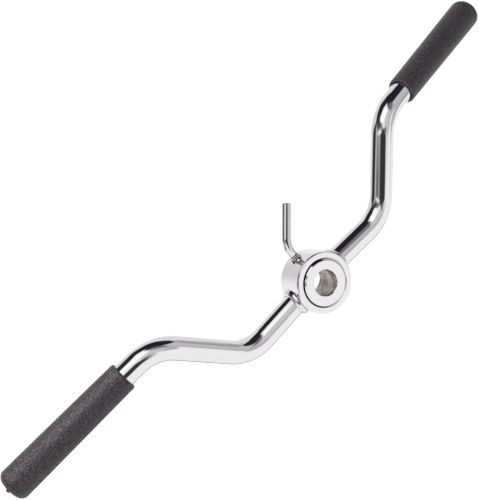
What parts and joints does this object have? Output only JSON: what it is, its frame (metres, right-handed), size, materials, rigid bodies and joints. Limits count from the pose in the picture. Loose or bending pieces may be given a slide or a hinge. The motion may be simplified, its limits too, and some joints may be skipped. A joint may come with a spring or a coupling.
{
  "type": "lat pulldown bar",
  "caption": "Cambered two-hand bar handle with rubber grips, a central collar and reducing bush that slip over a bar, and a bent-rod clamp screw that locks it.",
  "frame": {"origin": "centre of the hub collar, on the axis of its bore, half way between its front and back rims", "axes": "+Z along the bore, out of the face where the bush stands proud; +X towards the right grip; +Y towards the camber of the arms and the clamp screw"},
  "size_m": [0.7504, 0.1322, 0.0776],
  "materials": {
    "chrome": "bright polished chrome plate over welded steel tube",
    "bush_plate": "turned steel, plated bright on its face, with a dull bare bore",
    "weld_plate": "rippled weld bead under chrome plate",
    "screw_plate": "plated steel rod, slightly duller than the tubes",
    "grip_rubber": "matte charcoal rubber with a fine pebbled grain"
  },
  "bodies": {
    "handle_frame": {"hub_collar": "chrome", "right_arm_tube": "chrome", "left_arm_tube": "chrome", "right_weld_bead": "weld_plate", "left_weld_bead": "weld_plate", "right_grip": "grip_rubber", "left_grip": "grip_rubber"},
    "reducing_bush": {"reducing_bush": "bush_plate"},
    "clamp_stud": {"clamp_stud": "screw_plate"},
    "clamp_handle": {"clamp_handle": "screw_plate"}
  },
  "joints": [
    {"name": "bush_slide", "type": "slide", "parent": "handle_frame", "child": "reducing_bush", "axis": [0, 0, 1], "range_m": [0, 0.04]},
    {"name": "clamp_advance", "type": "slide", "parent": "handle_frame", "child": "clamp_stud", "axis": [-0.0349, 0.9994, 0], "range_m": [0, 0.00562]},
    {"name": "clamp_turn", "type": "hinge", "parent": "clamp_stud", "child": "clamp_handle", "pos_m": [0, 0, -0.0027], "axis": [-0.0349, 0.9994, 0], "range_deg": [0, 1350]}
  ],
  "couplings": [
    {"joint": "clamp_turn", "follows": "clamp_advance", "rad_per_m": 4188.8}
  ]
}
